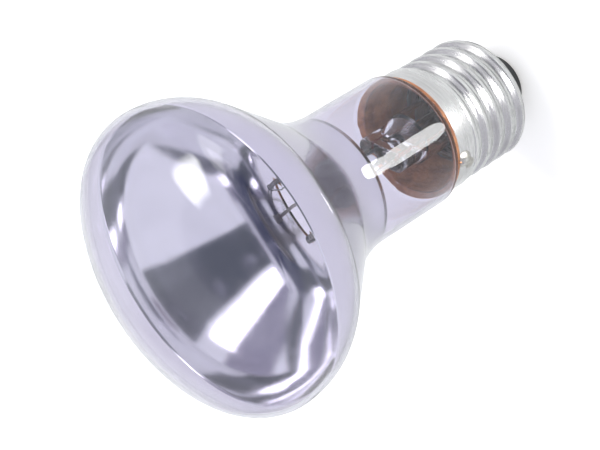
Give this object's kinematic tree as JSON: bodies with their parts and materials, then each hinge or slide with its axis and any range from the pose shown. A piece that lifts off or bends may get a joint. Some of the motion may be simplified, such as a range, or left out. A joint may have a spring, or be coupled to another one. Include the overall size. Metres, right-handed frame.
{
  "type": "reflector heat lamp",
  "caption": "Blown glass reflector lamp with a mirrored bell, a ring filament on a glass stem and an Edison screw cap, for spot heat and light.",
  "frame": {"origin": "lamp axis at the tip of the centre contact's solder, the lowest point", "axes": "+Z along the lamp axis from the cap to the domed face; +X towards the side solder joint at the cap's rim"},
  "size_m": [0.0636, 0.0636, 0.1002],
  "materials": {
    "tinted_glass": "clear, pale lavender",
    "mirror_film": "vacuum-coated aluminium mirror",
    "stem_glass": "clear lead glass",
    "seal_wire": "red oxidised copper sheath",
    "lead_wire": "nickel wire, satin",
    "copper_wire": "plain copper wire",
    "tungsten": "dull drawn tungsten coil",
    "support_wire": "molybdenum wire, satin",
    "cap_metal": "bright rolled aluminium",
    "black_glass": "black moulded glass, glossy",
    "contact_brass": "stamped brass, satin",
    "cement": "matt brown basing cement",
    "solder": "dull tin-lead solder"
  },
  "bodies": {
    "root": {"glass_envelope": "tinted_glass", "mirror_coating": "mirror_film", "stem_tube": "stem_glass", "exhaust_tube": "stem_glass", "button_rod": "stem_glass", "seal_wire_left": "seal_wire", "seal_wire_right": "seal_wire", "inner_lead_left": "lead_wire", "inner_lead_right": "lead_wire", "side_lead": "copper_wire", "centre_lead": "copper_wire", "fuse_wire": "lead_wire", "filament": "tungsten", "support_wire_left": "support_wire", "support_wire_middle": "support_wire", "support_wire_right": "support_wire", "screw_shell": "cap_metal", "cap_insulator": "black_glass", "centre_contact": "contact_brass", "basing_cement": "cement", "side_solder": "solder", "centre_solder": "solder"}
  },
  "joints": []
}
